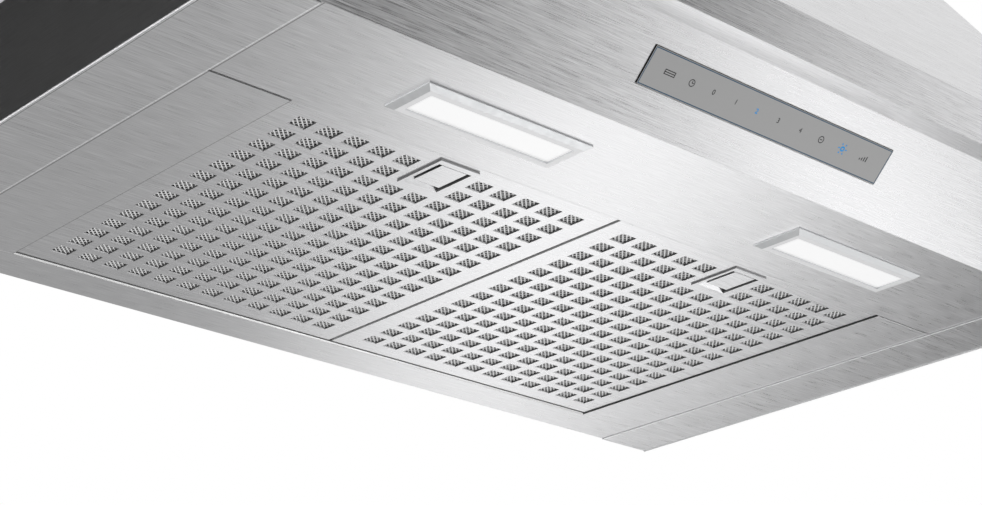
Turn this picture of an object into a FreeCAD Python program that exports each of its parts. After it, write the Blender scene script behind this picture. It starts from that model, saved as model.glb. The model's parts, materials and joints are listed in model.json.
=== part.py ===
# Wall mount range hood: pyramid canopy, two drop-down mesh filters, lights, touch panel,
# centrifugal blower, outlet collar with back-draught flaps and a telescopic flue cover.
#
# Drawing frame: X to the right, Y towards the wall (the wall is Y = 0), Z up from the underside.
# Every piece is then lowered by mount_height, so the origin is the centre of the wall screw holes.
import FreeCAD
import Part
import Sketcher
import math
import operator
import os

from FreeCAD import Placement, Rotation, Vector

doc = FreeCAD.newDocument("RangeHood")
sheet = doc.addObject("Spreadsheet::Sheet", "Sizes")

# Lengths that know their number and their formula on the sheet
OPERATIONS = {"+": operator.add, "-": operator.sub, "*": operator.mul, "/": operator.truediv}


class Size:
    """A value kept both as a number and as a spreadsheet formula."""

    def __init__(self, number, formula):
        self.number = number
        self.formula = formula

    def __add__(self, other):
        return combine(self, "+", other)

    def __radd__(self, other):
        return combine(other, "+", self)

    def __sub__(self, other):
        return combine(self, "-", other)

    def __rsub__(self, other):
        return combine(other, "-", self)

    def __mul__(self, other):
        return combine(self, "*", other)

    def __rmul__(self, other):
        return combine(other, "*", self)

    def __truediv__(self, other):
        return combine(self, "/", other)

    def __neg__(self):
        return combine(0, "-", self)


def as_size(value):
    if isinstance(value, Size):
        return value
    return Size(float(value), "(%r)" % float(value))


def combine(left, sign, right):
    left = as_size(left)
    right = as_size(right)
    number = OPERATIONS[sign](left.number, right.number)
    return Size(number, "(%s %s %s)" % (left.formula, sign, right.formula))


def leg(hypotenuse, side):
    """The other short side of a right triangle."""
    number = math.sqrt(hypotenuse.number ** 2 - side.number ** 2)
    squares = "%s * %s - %s * %s" % (hypotenuse.formula, hypotenuse.formula, side.formula, side.formula)
    return Size(number, "sqrt(%s)" % squares)


rows = 0


def size(alias, number):
    """Write one driving dimension to the sheet and hand it back as a Size."""
    global rows
    rows += 1
    sheet.set("A%d" % rows, alias)
    sheet.set("B%d" % rows, str(number))
    sheet.setAlias("B%d" % rows, alias)
    return Size(float(number), "Sizes." + alias)


# Outer form of the hood
hood_width = size("hood_width", 760)
underside_depth = size("underside_depth", 446)
chin_reach = size("chin_reach", 48.6)
lip_depth = size("lip_depth", 16)
rim_height = size("rim_height", 33.3)
canopy_rise = size("canopy_rise", 372)
flue_width = size("flue_width", 330)
flue_depth = size("flue_depth", 280)
steel = size("steel", 1.2)
seam = size("seam", 0.3)
mount_height = size("mount_height", 230)

# Underside panels
strip_width = size("strip_width", 53)
strip_step = size("strip_step", 1)
hem_drop = size("hem_drop", 0.8)
rail_depth = size("rail_depth", 36)
rail_upstand = size("rail_upstand", 25)
panel_upstand = size("panel_upstand", 15)
filler_flange = size("filler_flange", 12)
filler_gap = size("filler_gap", 1)

# Grease filters
filter_split = size("filter_split", 3)
filter_width = size("filter_width", 265.5)
filter_depth = size("filter_depth", 304.4)
filter_height = size("filter_height", 10)
filter_gap = size("filter_gap", 3)
filter_clearance = size("filter_clearance", 1)
filter_front_gap = size("filter_front_gap", 0.5)
filter_recess = size("filter_recess", 1.2)
face_gauge = size("face_gauge", 1)
hole_pitch = size("hole_pitch", 20)
hole_side = size("hole_side", 13)
hole_columns = size("hole_columns", 12)
hole_rows = size("hole_rows", 14)
latch_holes = size("latch_holes", 2)
mesh_thickness = size("mesh_thickness", 5)
frame_flange = size("frame_flange", 11)
tab_spacing = size("tab_spacing", 160)
tab_width = size("tab_width", 30)
tab_reach = size("tab_reach", 7)
tab_height = size("tab_height", 4)

# Filter latches
bezel_width = size("bezel_width", 31.5)
bezel_length = size("bezel_length", 42)
bezel_proud = size("bezel_proud", 1.2)
bezel_setback = size("bezel_setback", 5.6)
bezel_border = size("bezel_border", 2.6)
bezel_front_border = size("bezel_front_border", 5)
pull_width = size("pull_width", 20.3)
pull_gap = size("pull_gap", 0.8)
pull_recess = size("pull_recess", 0.2)
tongue_lift = size("tongue_lift", 4.6)
carrier_thickness = size("carrier_thickness", 1.4)
tongue_width = size("tongue_width", 12)
latch_travel = size("latch_travel", 5)
spring_gauge = size("spring_gauge", 0.4)

# Lights
light_spacing = size("light_spacing", 320)
light_length = size("light_length", 129.4)
light_depth = size("light_depth", 40)
light_setback = size("light_setback", 52.4)
light_edge = size("light_edge", 0.8)
light_proud = size("light_proud", 3.4)
light_bevel = size("light_bevel", 4)
light_ring = size("light_ring", 4.2)
lens_recess = size("lens_recess", 1.2)
lens_thickness = size("lens_thickness", 2)
tray_height = size("tray_height", 13)

# Touch panel on the sloping control face
glass_width = size("glass_width", 220.5)
glass_height = size("glass_height", 25)
glass_rise = size("glass_rise", 25.8)
glass_proud = size("glass_proud", 0.8)
touch_margin = size("touch_margin", 6)
touch_depth = size("touch_depth", 13)
board_thickness = size("board_thickness", 1.6)

# Wall fixing
wall_hole_span = size("wall_hole_span", 300)
wall_hole_rise = size("wall_hole_rise", 150)
wall_hole_diameter = size("wall_hole_diameter", 9)

# Blower
duct_setback = size("duct_setback", 140)
blower_height = size("blower_height", 250)
blower_half_width = size("blower_half_width", 78)
blower_wall = size("blower_wall", 2.5)
blower_flange = size("blower_flange", 8)
scroll_radius = size("scroll_radius", 108)
scroll_step = size("scroll_step", 14)
inlet_radius = size("inlet_radius", 70)
bell_flare = size("bell_flare", 9.5)
bell_depth = size("bell_depth", 11)
impeller_radius = size("impeller_radius", 95)
impeller_half_width = size("impeller_half_width", 62)
blade_depth = size("blade_depth", 17)
blade_sweep = size("blade_sweep", 10)
blade_gauge = size("blade_gauge", 1.2)
blade_bow = size("blade_bow", 3)
blade_count = size("blade_count", 24)
hub_radius = size("hub_radius", 14)
hub_length = size("hub_length", 8)
shaft_radius = size("shaft_radius", 4)
motor_radius = size("motor_radius", 48)
motor_boss = size("motor_boss", 16)
motor_nose = size("motor_nose", 14)
motor_boss_length = size("motor_boss_length", 6)
bracket_hub = size("bracket_hub", 40)
bracket_gauge = size("bracket_gauge", 2.5)
bracket_arm = size("bracket_arm", 18)
bracket_seat = size("bracket_seat", 14)

# Outlet collar and back-draught flaps
collar_radius = size("collar_radius", 75)
collar_height = size("collar_height", 60)
collar_flange = size("collar_flange", 12)
flap_level = size("flap_level", 28)
flap_clearance = size("flap_clearance", 1.8)
pin_radius = size("pin_radius", 1.5)
pin_offset = size("pin_offset", 5)
flap_gauge = size("flap_gauge", 1)

# Flue cover
lower_flue_height = size("lower_flue_height", 330)
upper_flue_height = size("upper_flue_height", 320)
upper_flue_step = size("upper_flue_step", 16)
flue_clearance = size("flue_clearance", 0.6)
vent_length = size("vent_length", 90)
vent_height = size("vent_height", 6)
vent_pitch = size("vent_pitch", 14)
vent_count = size("vent_count", 5)
vent_drop = size("vent_drop", 112)
ear_depth = size("ear_depth", 30)
bracket_height = size("bracket_height", 34)
bracket_hole_span = size("bracket_hole_span", 220)
bracket_hole_diameter = size("bracket_hole_diameter", 6)

# Power box on the back panel
power_box_offset = size("power_box_offset", 250)
power_box_width = size("power_box_width", 90)
power_box_height = size("power_box_height", 84)
power_box_depth = size("power_box_depth", 46)
power_box_level = size("power_box_level", 96)
box_wall = size("box_wall", 1.5)
cover_inset = size("cover_inset", 9)
cover_lift = size("cover_lift", 3)
gland_offset = size("gland_offset", 125)
gland_setback = size("gland_setback", 60)
gland_radius = size("gland_radius", 11)
gland_bore = size("gland_bore", 6)
gland_length = size("gland_length", 16)

doc.recompute()

# Places worked out from the driving dimensions
clearance = seam
half_width = hood_width / 2
inner_half = half_width - steel
strip_edge = half_width - strip_width
hood_depth = underside_depth + chin_reach + lip_depth
rim_top = chin_reach + rim_height
canopy_top = rim_top + canopy_rise
rear_edge = -(rail_depth + filter_gap)
front_edge = rear_edge - filter_depth
panel_edge = front_edge - filter_front_gap
filter_outer = filter_split / 2 + filter_width
plate_top = canopy_top
plate_bottom = canopy_top - steel
duct_y = -duct_setback
scroll_reach = scroll_radius + scroll_step * 3
blower_y = duct_y - scroll_reach / 2
bell_rim = inlet_radius + bell_flare
mitre = math.tan(math.radians(22.5))


# Sketch and feature helpers
def origin_feature(body, role):
    return [item for item in body.Origin.OriginFeatures if item.Role == role][0]


def arc_between(first, last, radius, bend):
    """A circle arc from first to last; bend says on which side of the chord its centre lies."""
    chord = last - first
    reach = math.sqrt(radius ** 2 - (chord.Length / 2) ** 2)
    across = Vector(-chord.y, chord.x, 0).normalize()
    centre = first + chord * 0.5 + across * (reach * bend)
    start = math.atan2(first.y - centre.y, first.x - centre.x)
    end = math.atan2(last.y - centre.y, last.x - centre.x)
    circle = Part.Circle(centre, Vector(0, 0, 1), radius)
    if bend > 0:
        return Part.ArcOfCircle(circle, start, end if end > start else end + 2 * math.pi)
    return Part.ArcOfCircle(circle, end, start if start > end else start + 2 * math.pi)


def bind(sketch, index, length):
    sketch.setExpression("Constraints[%d]" % index, length.formula)


def pin_point(sketch, geometry, position, x, y):
    """Hold one point of the sketch at its two coordinates."""
    index = sketch.addConstraint(Sketcher.Constraint("DistanceX", -1, 1, geometry, position, x.number))
    bind(sketch, index, x)
    index = sketch.addConstraint(Sketcher.Constraint("DistanceY", -1, 1, geometry, position, y.number))
    bind(sketch, index, y)


def polygon(*corners, arcs=None):
    """A closed outline; arcs gives (radius, bend) for the edge that starts at a corner."""
    arcs = arcs or {}
    points = [(as_size(x), as_size(y)) for x, y in corners]

    def draw(sketch):
        base = sketch.GeometryCount
        count = len(points)
        vectors = [Vector(x.number, y.number, 0) for x, y in points]
        ends = []
        for index in range(count):
            first = vectors[index]
            last = vectors[(index + 1) % count]
            if index in arcs:
                radius, bend = arcs[index]
                radius = as_size(radius)
                sketch.addGeometry(arc_between(first, last, radius.number, bend), False)
                ends.append((1, 2) if bend > 0 else (2, 1))
            else:
                sketch.addGeometry(Part.LineSegment(first, last), False)
                ends.append((1, 2))
        for index in range(count):
            before = (index - 1) % count
            sketch.addConstraint(Sketcher.Constraint(
                "Coincident", base + before, ends[before][1], base + index, ends[index][0]))
            pin_point(sketch, base + index, ends[index][0], *points[index])
        for index, (radius, bend) in arcs.items():
            radius = as_size(radius)
            place = sketch.addConstraint(Sketcher.Constraint("Radius", base + index, radius.number))
            bind(sketch, place, radius)

    return draw


def rectangle(x0, y0, x1, y1):
    return polygon((x0, y0), (x1, y0), (x1, y1), (x0, y1))


def circle(x, y, radius):
    x, y, radius = as_size(x), as_size(y), as_size(radius)

    def draw(sketch):
        shape = Part.Circle(Vector(x.number, y.number, 0), Vector(0, 0, 1), radius.number)
        index = sketch.addGeometry(shape, False)
        pin_point(sketch, index, 3, x, y)
        place = sketch.addConstraint(Sketcher.Constraint("Radius", index, radius.number))
        bind(sketch, place, radius)

    return draw


def sketch_on(body, plane, offset, drawings):
    """A sketch parallel to one of the body's own planes, at a distance along the plane's normal."""
    sketch = body.newObject("Sketcher::SketchObject", body.Label + "_sketch")
    sketch.AttachmentSupport = [(origin_feature(body, plane + "_Plane"), "")]
    sketch.MapMode = "FlatFace"
    offset = as_size(offset)
    sketch.AttachmentOffset = Placement(Vector(0, 0, offset.number), Rotation())
    sketch.setExpression("AttachmentOffset.Base.z", offset.formula)
    for draw in drawings:
        draw(sketch)
    return sketch


def along_normal(plane, near, far):
    """Offsets of the near and far end of a span; the XZ plane's normal points to -Y."""
    near, far = as_size(near), as_size(far)
    if plane == "XZ":
        return -far, -near
    return near, far


def pad(body, plane, near, far, *drawings):
    start, end = along_normal(plane, near, far)
    feature = body.newObject("PartDesign::Pad", body.Label + "_pad")
    feature.Profile = sketch_on(body, plane, start, drawings)
    feature.setExpression("Length", (end - start).formula)
    body.Tip = feature
    return feature


def cut(body, plane, near, far, *drawings):
    start, end = along_normal(plane, near, far)
    feature = body.newObject("PartDesign::Pocket", body.Label + "_cut")
    feature.Profile = sketch_on(body, plane, end, drawings)
    feature.setExpression("Length", (end - start).formula)
    body.Tip = feature
    return feature


def loft(body, plane, near, near_drawing, far, far_drawing):
    start, end = along_normal(plane, near, far)
    first = sketch_on(body, plane, start, [near_drawing])
    last = sketch_on(body, plane, end, [far_drawing])
    feature = body.newObject("PartDesign::AdditiveLoft", body.Label + "_loft")
    feature.Profile = first
    feature.Sections = [last]
    feature.Ruled = True
    body.Tip = feature
    return feature


def revolve(body, plane, axis, *drawings):
    feature = body.newObject("PartDesign::Revolution", body.Label + "_turn")
    feature.Profile = sketch_on(body, plane, 0, drawings)
    feature.ReferenceAxis = (origin_feature(body, axis + "_Axis"), [""])
    feature.Angle = 360
    body.Tip = feature
    return feature


def row_of(body, axis, spacing, count):
    pattern = doc.addObject("PartDesign::LinearPattern", body.Label + "_row")
    body.addObject(pattern)
    pattern.Direction = (origin_feature(body, axis + "_Axis"), [""])
    pattern.Mode = "Spacing"
    pattern.setExpression("Offset", spacing.formula)
    pattern.setExpression("Occurrences", count.formula)
    return pattern


def grid(body, feature, x_spacing, x_count, y_spacing, y_count):
    """Repeat a feature in columns along X and rows along Y."""
    pattern = body.newObject("PartDesign::MultiTransform", body.Label + "_grid")
    columns = row_of(body, "X", x_spacing, x_count)
    lines = row_of(body, "Y", y_spacing, y_count)
    pattern.Originals = [feature]
    pattern.Transformations = [columns, lines]
    body.Tip = pattern
    return pattern


def ring_of(body, feature, axis, count):
    pattern = body.newObject("PartDesign::PolarPattern", body.Label + "_ring")
    pattern.Originals = [feature]
    pattern.Axis = (origin_feature(body, axis + "_Axis"), [""])
    pattern.Angle = 360
    pattern.setExpression("Occurrences", as_size(count).formula)
    body.Tip = pattern
    return pattern


pieces = []


def new_piece(name, x=0, y=0, z=0):
    """A body named after the piece, placed in the wall frame."""
    body = doc.addObject("PartDesign::Body", name)
    body.Label = name
    for axis, place in (("x", x), ("y", y), ("z", z - mount_height)):
        body.setExpression("Placement.Base." + axis, as_size(place).formula)
    pieces.append(body)
    return body


def span(side, near, far):
    """Two X values in rising order, on the right (side 1) or the left (side -1)."""
    if side > 0:
        return as_size(near), as_size(far)
    return -as_size(far), -as_size(near)


SIDES = (("left", -1), ("right", 1))


# Side panels: a wall with a hemmed lower edge and a bottom strip, a step below the other panels
def side_panel(name, side):
    body = new_piece(name + "_side_panel")
    strip_front = -underside_depth + steel * mitre
    wall = polygon((0, -strip_step), (strip_front, -strip_step), (strip_front, 0), (-underside_depth, 0),
                   (-(underside_depth + chin_reach), chin_reach), (-hood_depth, chin_reach),
                   (-hood_depth, rim_top), (0, rim_top))
    pad(body, "YZ", *span(side, inner_half, half_width), wall)
    x0, x1 = span(side, strip_edge, inner_half)
    pad(body, "XY", -strip_step, steel - strip_step, rectangle(x0, strip_front, x1, 0))
    hem_low = -strip_step - hem_drop
    outer, middle, inner = half_width * side, inner_half * side, (inner_half - steel) * side
    pad(body, "XZ", strip_front, 0, polygon(
        (outer, steel), (outer, hem_low + steel), (middle, hem_low), (inner, hem_low + steel), (inner, steel),
        arcs={1: (steel, -side), 2: (steel, -side)}))


# Front panel: upstand, light panel, sloping control face, level lip and upright rim in one bent sheet
def front_panel():
    body = new_piece("front_panel")
    chin_y = -underside_depth - chin_reach
    sheet_outline = polygon(
        (panel_edge, 0), (-underside_depth, 0), (chin_y, chin_reach), (-hood_depth, chin_reach),
        (-hood_depth, rim_top), (-hood_depth + steel, rim_top), (-hood_depth + steel, chin_reach + steel),
        (chin_y + steel * mitre, chin_reach + steel), (-underside_depth + steel * mitre, steel),
        (panel_edge - steel, steel), (panel_edge - steel, panel_upstand), (panel_edge, panel_upstand))
    pad(body, "YZ", -inner_half, inner_half, sheet_outline)
    for name, side in SIDES:
        x0, x1 = span(side, strip_edge - seam, half_width)
        corner = rectangle(x0, -underside_depth + steel * mitre - seam, x1, panel_edge + steel)
        cut(body, "XY", -steel, panel_upstand + steel, corner)
        light_x = light_spacing / 2 * side
        half_length = light_length / 2 - light_bevel - light_ring
        half_depth = light_depth / 2 - light_bevel - light_ring
        light_y = -underside_depth + light_setback
        cut(body, "XY", -steel, steel * 2, rectangle(
            light_x - half_length, light_y - half_depth, light_x + half_length, light_y + half_depth))
        latch_x = (filter_split / 2 + filter_width / 2) * side
        slot_bottom = filter_recess + tongue_lift - clearance
        slot_top = filter_recess + tongue_lift + carrier_thickness + clearance
        cut(body, "XZ", panel_edge - steel * 2, panel_edge + steel, rectangle(
            latch_x - tongue_width / 2 - filter_clearance, slot_bottom,
            latch_x + tongue_width / 2 + filter_clearance, slot_top))
    opening = body.newObject("PartDesign::Pocket", "front_panel_touch_cut")
    half_glass = glass_width / 2 + seam
    opening.Profile = sketch_on(body, "XY", 0, [rectangle(
        -half_glass, glass_rise - seam, half_glass, glass_rise + glass_height + seam)])
    opening.Profile[0].AttachmentOffset = Placement(Vector(0, -underside_depth.number, 0), chin_turn())
    opening.Profile[0].setExpression("AttachmentOffset.Base.y", (-underside_depth).formula)
    opening.setExpression("Length", (steel * 2).formula)
    body.Tip = opening


def chin_turn():
    """The control face slopes at 45 degrees; its own Z axis points out of the hood."""
    return Rotation(Vector(1, 0, 0), 135)


# Filler panels between the side strips and the filters, flanged along both long edges
def filler_panel(name, side):
    body = new_piece(name + "_filler_panel")
    inner = (filter_outer + filter_clearance) * side
    outer = (strip_edge - seam) * side
    inner_wall = inner + steel * side
    outer_wall = outer - steel * side
    profile = polygon(
        (inner, 0), (outer, 0), (outer, filler_flange), (outer_wall, filler_flange), (outer_wall, steel),
        (inner_wall, steel), (inner_wall, rail_upstand), (inner, rail_upstand))
    pad(body, "XZ", panel_edge + filler_gap, -rail_depth - seam, profile)


# Rear rail along the wall, with slots for the tabs of the filters
def rear_rail():
    body = new_piece("rear_rail")
    profile = polygon((0, 0), (0, steel), (-rail_depth + steel, steel), (-rail_depth + steel, rail_upstand),
                      (-rail_depth, rail_upstand), (-rail_depth, 0))
    pad(body, "YZ", -(strip_edge - seam), strip_edge - seam, profile)
    for name, side in SIDES:
        for hand in (-1, 1):
            tab_x = (filter_split / 2 + filter_width / 2) * side + tab_spacing / 2 * hand
            half = tab_width / 2 + filter_clearance
            tab_z = filter_recess + tab_height
            slot_top = tab_z + tab_reach + steel * 2
            slot = rectangle(tab_x - half, tab_z - clearance, tab_x + half, slot_top)
            cut(body, "XZ", -rail_depth - steel, -rail_depth + steel * 2, slot)


# Back panel against the wall, with four screw holes
def back_panel():
    body = new_piece("back_panel")
    top_half = flue_width / 2 - steel
    pad(body, "XZ", -steel, 0, polygon(
        (-inner_half, steel), (inner_half, steel), (inner_half, rim_top), (top_half, canopy_top),
        (-top_half, canopy_top), (-inner_half, rim_top)))
    holes = []
    for across in (-1, 1):
        for up in (-1, 1):
            x = wall_hole_span / 2 * across
            z = mount_height + wall_hole_rise / 2 * up
            holes.append(circle(x, z, wall_hole_diameter / 2))
    cut(body, "XZ", -steel * 2, steel, *holes)


# Sloping canopy sheets: a hollow pyramid stump, cut apart along its hips
def stump(body, kind, gauge, past_wall):
    """A pyramid stump, set in by a gauge at the front and the sides, with its back in the wall plane."""
    feature = body.newObject("PartDesign::" + kind, body.Label + "_stump")
    feature.AttachmentSupport = [(origin_feature(body, "XY_Plane"), "")]
    feature.MapMode = "FlatFace"
    feature.AttachmentOffset = Placement(Vector(), Rotation(Vector(1, 0, 0), 90))
    low, high = half_width - gauge, flue_width / 2 - gauge
    spans = {"Xmin": -low, "Xmax": low, "X2min": -high, "X2max": high,
             "Ymin": rim_top, "Ymax": canopy_top, "Zmin": -past_wall, "Zmax": hood_depth - gauge,
             "Z2min": -past_wall, "Z2max": flue_depth - gauge}
    for name, place in spans.items():
        setattr(feature, name, place.number)
        feature.setExpression(name, place.formula)
    body.Tip = feature


def canopy_sheets():
    low_x, low_y = half_width, -hood_depth
    hip_x = flue_width / 2 - steel * 2
    hip_y = low_y + (hood_depth - flue_depth) * (low_x - hip_x) / (low_x - flue_width / 2)
    for name in ("front", "left", "right"):
        body = new_piece("canopy_" + name)
        stump(body, "AdditiveWedge", as_size(0), as_size(0))
        stump(body, "SubtractiveWedge", steel, steel)
        for hand_name, side in SIDES:
            corner_x = low_x * side
            hip = ((corner_x, low_y), (hip_x * side, hip_y), (hip_x * side, steel))
            flank = polygon(*hip, (corner_x, steel))
            rest = polygon(*hip, (-corner_x, steel), (-corner_x, low_y - steel), (corner_x, low_y - steel))
            if name == "front":
                cut(body, "XY", rim_top, canopy_top, flank)
            elif name == hand_name:
                cut(body, "XY", rim_top, canopy_top, rest)


# Top plate that carries the blower, the collar and the cable gland
def top_plate():
    body = new_piece("top_plate")
    half = flue_width / 2 - steel
    pad(body, "XY", plate_bottom, plate_top, rectangle(-half, -flue_depth + steel, half, -steel))
    cut(body, "XY", plate_bottom - steel, plate_top + steel,
        circle(0, duct_y, collar_radius - steel),
        circle(gland_offset, -gland_setback, gland_radius - box_wall * 2))


# One filter: perforated face, mesh pad, channel frame and latch, set a little above the panels
def grease_filter(name, side):
    x = (filter_split / 2 + filter_width / 2) * side
    x0, x1 = x - filter_width / 2, x + filter_width / 2
    middle_y = (front_edge + rear_edge) / 2
    window_x0, window_x1 = x - bezel_width / 2 + bezel_border, x + bezel_width / 2 - bezel_border
    bezel_y0 = front_edge + bezel_setback
    bezel_y1 = bezel_y0 + bezel_length
    window_y0, window_y1 = bezel_y0 + bezel_front_border, bezel_y1 - bezel_border

    face = new_piece(name + "_filter_face", z=filter_recess)
    pad(face, "XY", 0, face_gauge, rectangle(x0, front_edge, x1, rear_edge))
    first_x = x - hole_pitch * (hole_columns - 1) / 2
    first_y = middle_y - hole_pitch * (hole_rows - 1) / 2
    beside_latch = (hole_columns - latch_holes) / 2
    far_x = first_x + hole_pitch * (hole_columns - beside_latch)
    fields = ((first_x, first_y + hole_pitch * latch_holes, hole_columns, hole_rows - latch_holes),
              (first_x, first_y, beside_latch, latch_holes), (far_x, first_y, beside_latch, latch_holes))
    half_hole = hole_side / 2
    for hole_x, hole_y, columns, lines in fields:
        hole = cut(face, "XY", 0, face_gauge, rectangle(
            hole_x - half_hole, hole_y - half_hole, hole_x + half_hole, hole_y + half_hole))
        grid(face, hole, hole_pitch, columns, hole_pitch, lines)
    cut(face, "XY", 0, face_gauge, rectangle(window_x0, window_y0, window_x1, window_y1))

    case_half = bezel_width / 2 + steel
    case_y1 = bezel_y1 + latch_travel * 2
    mesh = new_piece(name + "_filter_mesh", z=filter_recess)
    pad(mesh, "XY", face_gauge, face_gauge + mesh_thickness, polygon(
        (x0 + face_gauge, front_edge + face_gauge), (x - case_half, front_edge + face_gauge),
        (x - case_half, case_y1), (x + case_half, case_y1), (x + case_half, front_edge + face_gauge),
        (x1 - face_gauge, front_edge + face_gauge), (x1 - face_gauge, rear_edge - face_gauge),
        (x0 + face_gauge, rear_edge - face_gauge)))

    frame = new_piece(name + "_filter_frame", z=filter_recess)
    outer = rectangle(x0, front_edge, x1, rear_edge)
    pad(frame, "XY", face_gauge, filter_height, outer, rectangle(
        x0 + face_gauge, front_edge + face_gauge, x1 - face_gauge, rear_edge - face_gauge))
    pad(frame, "XY", filter_height - face_gauge, filter_height, outer, rectangle(
        x0 + frame_flange, front_edge + frame_flange, x1 - frame_flange, rear_edge - frame_flange))
    for hand in (-1, 1):
        tab_x = x + tab_spacing / 2 * hand
        pad(frame, "XY", tab_height, tab_height + steel, rectangle(
            tab_x - tab_width / 2, rear_edge - face_gauge, tab_x + tab_width / 2, rear_edge + tab_reach))
    tongue_gap = tongue_width / 2 + filter_clearance
    tongue_high = tongue_lift + carrier_thickness
    cut(frame, "XZ", front_edge - face_gauge, front_edge + face_gauge * 2, rectangle(
        x - tongue_gap, tongue_lift - clearance, x + tongue_gap, tongue_high + clearance))

    # The bezel stands proud below the face, with a stop turned up at the rear; the case guides the carrier
    bezel = new_piece(name + "_latch_bezel", z=filter_recess)
    window = rectangle(window_x0, window_y0, window_x1, window_y1)
    pad(bezel, "XY", -bezel_proud, 0, window, rectangle(
        x - bezel_width / 2, bezel_y0, x + bezel_width / 2, bezel_y1))
    stop_y = window_y1 - steel
    pad(bezel, "XY", -bezel_proud, tongue_lift - clearance * 2, rectangle(
        window_x0, stop_y, window_x1, window_y1))
    case = new_piece(name + "_latch_case", z=filter_recess)
    case_top = tongue_high + clearance + steel
    groove_half = case_half - steel
    ledge_half = groove_half - steel
    ledge_top = tongue_lift - clearance
    ceiling = case_top - steel
    pad(case, "XZ", bezel_y0, case_y1, polygon(
        (x - case_half, face_gauge), (x - case_half, case_top), (x + case_half, case_top),
        (x + case_half, face_gauge), (x + ledge_half, face_gauge), (x + ledge_half, ledge_top),
        (x + groove_half, ledge_top), (x + groove_half, ceiling), (x - groove_half, ceiling),
        (x - groove_half, ledge_top), (x - ledge_half, ledge_top), (x - ledge_half, face_gauge)))
    pad(case, "XZ", case_y1 - steel, case_y1, rectangle(
        x - groove_half, face_gauge, x + groove_half, ceiling))

    # The steel pull is a tray, almost flush with the bezel, under a black carrier with a tongue at the front
    pull = new_piece(name + "_latch_pull", z=filter_recess)
    pull_y0, pull_y1 = window_y0 + pull_gap, stop_y - latch_travel - pull_gap
    pull_low = pull_recess - bezel_proud
    pull_top = pull_low + steel
    pad(pull, "YZ", x - pull_width / 2, x + pull_width / 2, polygon(
        (pull_y0, pull_low), (pull_y1, pull_low), (pull_y1, tongue_lift), (pull_y1 - steel, tongue_lift),
        (pull_y1 - steel, pull_top), (pull_y0 + steel, pull_top), (pull_y0 + steel, tongue_lift),
        (pull_y0, tongue_lift)))
    carrier = new_piece(name + "_latch_carrier", z=filter_recess)
    wing = groove_half - clearance
    pad(carrier, "XY", tongue_lift, tongue_high, polygon(
        (x - tongue_width / 2, panel_edge + clearance), (x + tongue_width / 2, panel_edge + clearance),
        (x + tongue_width / 2, pull_y0), (x + wing, pull_y0), (x + wing, pull_y1),
        (x - wing, pull_y1), (x - wing, pull_y0), (x - tongue_width / 2, pull_y0)))

    # A bowed leaf spring between the carrier and the end of the case
    spring = new_piece(name + "_latch_spring", z=filter_recess)
    spring_y0, spring_y1 = pull_y1 + clearance, case_y1 - steel - clearance
    leaf = wing - spring_gauge * 2
    pad(spring, "XY", tongue_lift, tongue_high, polygon(
        (x - wing, spring_y1), (x, spring_y0), (x + wing, spring_y1),
        (x + leaf, spring_y1), (x, spring_y0 + spring_gauge), (x - leaf, spring_y1)))


# One light: bevelled frame, white lens and the tray of light diodes behind it
def light(name, side):
    x = light_spacing / 2 * side
    y = -underside_depth + light_setback

    def field(inset):
        half_length = light_length / 2 - inset
        half_depth = light_depth / 2 - inset
        return rectangle(x - half_length, y - half_depth, x + half_length, y + half_depth)

    inset = light_bevel + light_ring
    frame = new_piece(name + "_light_frame")
    pad(frame, "XY", -light_edge, 0, field(0))
    loft(frame, "XY", -light_proud, field(light_bevel), -light_edge, field(0))
    cut(frame, "XY", -light_proud, 0, field(inset))
    lens = new_piece(name + "_light_lens")
    lens_low = -light_proud + lens_recess
    pad(lens, "XY", lens_low, lens_low + lens_thickness, field(inset))
    tray = new_piece(name + "_led_tray")
    pad(tray, "XY", steel, steel + tray_height, field(light_bevel))
    cut(tray, "XY", steel, steel + tray_height - box_wall, field(light_bevel + box_wall))


# Touch panel: glass, housing and board, drawn on the control face
def touch_panel():
    def on_chin(name):
        body = new_piece(name, 0, -underside_depth, 0)
        body.Placement = Placement(body.Placement.Base, chin_turn())
        return body

    half = glass_width / 2
    top = glass_rise + glass_height
    glass = on_chin("touch_glass")
    pad(glass, "XY", -steel, glass_proud, rectangle(-half, glass_rise, half, top))
    housing = on_chin("touch_housing")
    pad(housing, "XY", -steel - touch_depth, -steel, rectangle(
        -half - touch_margin, glass_rise - touch_margin, half + touch_margin, top + touch_margin))
    cut(housing, "XY", -steel - touch_depth + box_wall, -steel, rectangle(
        -half - touch_margin + box_wall, glass_rise - touch_margin + box_wall,
        half + touch_margin - box_wall, top + touch_margin - box_wall))
    board = on_chin("touch_board")
    pad(board, "XY", -steel - board_thickness, -steel, rectangle(
        -half + box_wall, glass_rise + box_wall, half - box_wall, top - box_wall))


# Outline of the scroll round the blower axis in the YZ plane, grown outwards by a wall
def scroll_outline(grow, top):
    first = scroll_radius + grow
    second = first + scroll_step
    third = second + scroll_step
    neck_y = scroll_step + third
    return polygon(
        (-grow, leg(first, grow)), (-first, 0), (scroll_step, -second), (neck_y, scroll_step),
        (neck_y, top), (-grow, top),
        arcs={0: (first, 1), 1: (second, 1), 2: (third, 1)})


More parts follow.
